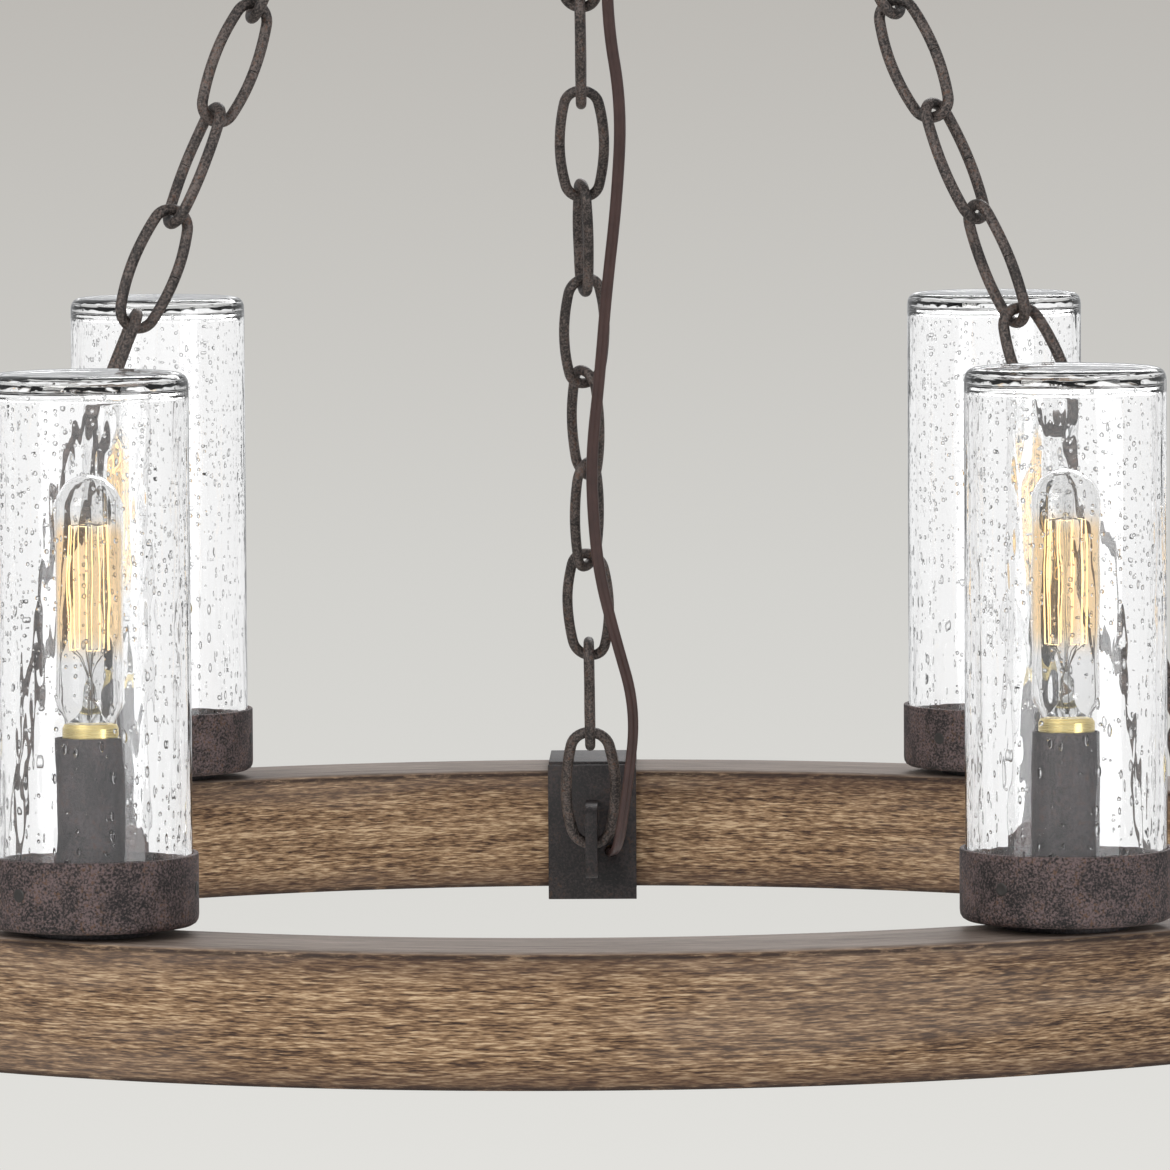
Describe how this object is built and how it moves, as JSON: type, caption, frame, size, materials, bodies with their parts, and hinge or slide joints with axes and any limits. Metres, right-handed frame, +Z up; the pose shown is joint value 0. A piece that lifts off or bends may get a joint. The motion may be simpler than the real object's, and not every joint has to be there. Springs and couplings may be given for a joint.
{
  "type": "wagon wheel chandelier",
  "caption": "Ring chandelier: square-section wooden hoop on chains that meet at a hub under a ceiling canopy, with glass cylinder lamps on iron cups.",
  "frame": {"origin": "centre of the crossbar's slots in the plane of the ceiling, on the chandelier's vertical axis", "axes": "+Z up out of the ceiling face, the rim hangs below; -Y towards the viewer of the picture, with one chain at the back on +Y"},
  "size_m": [1.0006, 0.9752, 1.056],
  "materials": {
    "weathered_wood": "weathered, matte, fine grain",
    "rusted_iron": "rough dark iron with rust flecks",
    "seeded_glass": "clear with small bubbles",
    "bulb_glass": "clear, thin",
    "brass": "bright",
    "filament": "glowing wire",
    "socket_insulator": "moulded insulator",
    "zinc_steel": "zinc plated",
    "cord_sheath": "smooth dark brown sheath"
  },
  "bodies": {
    "ceiling_fitting": {"crossbar": "zinc_steel", "canopy": "rusted_iron", "canopy_loop": "rusted_iron", "canopy_nipple": "zinc_steel", "canopy_nut": "zinc_steel"},
    "shade_1": {"glass_shade_1": "seeded_glass"},
    "bulb_1": {"bulb_base_1": "brass", "bulb_glass_1": "bulb_glass", "bulb_filament_1": "filament"},
    "shade_2": {"glass_shade_2": "seeded_glass"},
    "bulb_2": {"bulb_base_2": "brass", "bulb_glass_2": "bulb_glass", "bulb_filament_2": "filament"},
    "shade_3": {"glass_shade_3": "seeded_glass"},
    "bulb_3": {"bulb_base_3": "brass", "bulb_glass_3": "bulb_glass", "bulb_filament_3": "filament"},
    "shade_4": {"glass_shade_4": "seeded_glass"},
    "bulb_4": {"bulb_base_4": "brass", "bulb_glass_4": "bulb_glass", "bulb_filament_4": "filament"},
    "shade_5": {"glass_shade_5": "seeded_glass"},
    "bulb_5": {"bulb_base_5": "brass", "bulb_glass_5": "bulb_glass", "bulb_filament_5": "filament"},
    "shade_6": {"glass_shade_6": "seeded_glass"},
    "bulb_6": {"bulb_base_6": "brass", "bulb_glass_6": "bulb_glass", "bulb_filament_6": "filament"},
    "hanging_fixture": {"rim": "weathered_wood", "raceway_strip": "weathered_wood", "wiring_harness": "cord_sheath", "lamp_feet": "rusted_iron", "candle_sleeves": "rusted_iron", "lamp_sockets": "socket_insulator", "lamp_nipples": "zinc_steel", "nipple_nuts": "zinc_steel", "lamp_cup_1": "rusted_iron", "lamp_cup_2": "rusted_iron", "lamp_cup_3": "rusted_iron", "lamp_cup_4": "rusted_iron", "lamp_cup_5": "rusted_iron", "lamp_cup_6": "rusted_iron", "bracket_strap_rear": "rusted_iron", "bracket_plate_rear": "rusted_iron", "chain_rear": "rusted_iron", "bracket_strap_left": "rusted_iron", "bracket_plate_left": "rusted_iron", "chain_left": "rusted_iron", "bracket_strap_right": "rusted_iron", "bracket_plate_right": "rusted_iron", "chain_right": "rusted_iron", "bracket_bolts": "rusted_iron", "hub": "rusted_iron", "hub_loop": "rusted_iron", "top_chain": "rusted_iron", "lamp_cord": "cord_sheath"}
  },
  "joints": [
    {"name": "fixture_swing", "type": "hinge", "parent": "ceiling_fitting", "child": "hanging_fixture", "pos_m": [0, 0, -0.06], "axis": [0, 1, 0], "range_deg": [-10, 10]},
    {"name": "shade_1_lift", "type": "slide", "parent": "hanging_fixture", "child": "shade_1", "axis": [0, 0, 1], "range_m": [0, 0.2153]},
    {"name": "bulb_1_turn", "type": "hinge", "parent": "hanging_fixture", "child": "bulb_1", "pos_m": [0.45085, 0, -0.88715], "axis": [0, 0, 1], "range_deg": [0, 1800]},
    {"name": "shade_2_lift", "type": "slide", "parent": "hanging_fixture", "child": "shade_2", "axis": [0, 0, 1], "range_m": [0, 0.2153]},
    {"name": "bulb_2_turn", "type": "hinge", "parent": "hanging_fixture", "child": "bulb_2", "pos_m": [0.22542, 0.39045, -0.88715], "axis": [0, 0, 1], "range_deg": [0, 1800]},
    {"name": "shade_3_lift", "type": "slide", "parent": "hanging_fixture", "child": "shade_3", "axis": [0, 0, 1], "range_m": [0, 0.2153]},
    {"name": "bulb_3_turn", "type": "hinge", "parent": "hanging_fixture", "child": "bulb_3", "pos_m": [-0.22542, 0.39045, -0.88715], "axis": [0, 0, 1], "range_deg": [0, 1800]},
    {"name": "shade_4_lift", "type": "slide", "parent": "hanging_fixture", "child": "shade_4", "axis": [0, 0, 1], "range_m": [0, 0.2153]},
    {"name": "bulb_4_turn", "type": "hinge", "parent": "hanging_fixture", "child": "bulb_4", "pos_m": [-0.45085, 0, -0.88715], "axis": [0, 0, 1], "range_deg": [0, 1800]},
    {"name": "shade_5_lift", "type": "slide", "parent": "hanging_fixture", "child": "shade_5", "axis": [0, 0, 1], "range_m": [0, 0.2153]},
    {"name": "bulb_5_turn", "type": "hinge", "parent": "hanging_fixture", "child": "bulb_5", "pos_m": [-0.22542, -0.39045, -0.88715], "axis": [0, 0, 1], "range_deg": [0, 1800]},
    {"name": "shade_6_lift", "type": "slide", "parent": "hanging_fixture", "child": "shade_6", "axis": [0, 0, 1], "range_m": [0, 0.2153]},
    {"name": "bulb_6_turn", "type": "hinge", "parent": "hanging_fixture", "child": "bulb_6", "pos_m": [0.22542, -0.39045, -0.88715], "axis": [0, 0, 1], "range_deg": [0, 1800]}
  ]
}
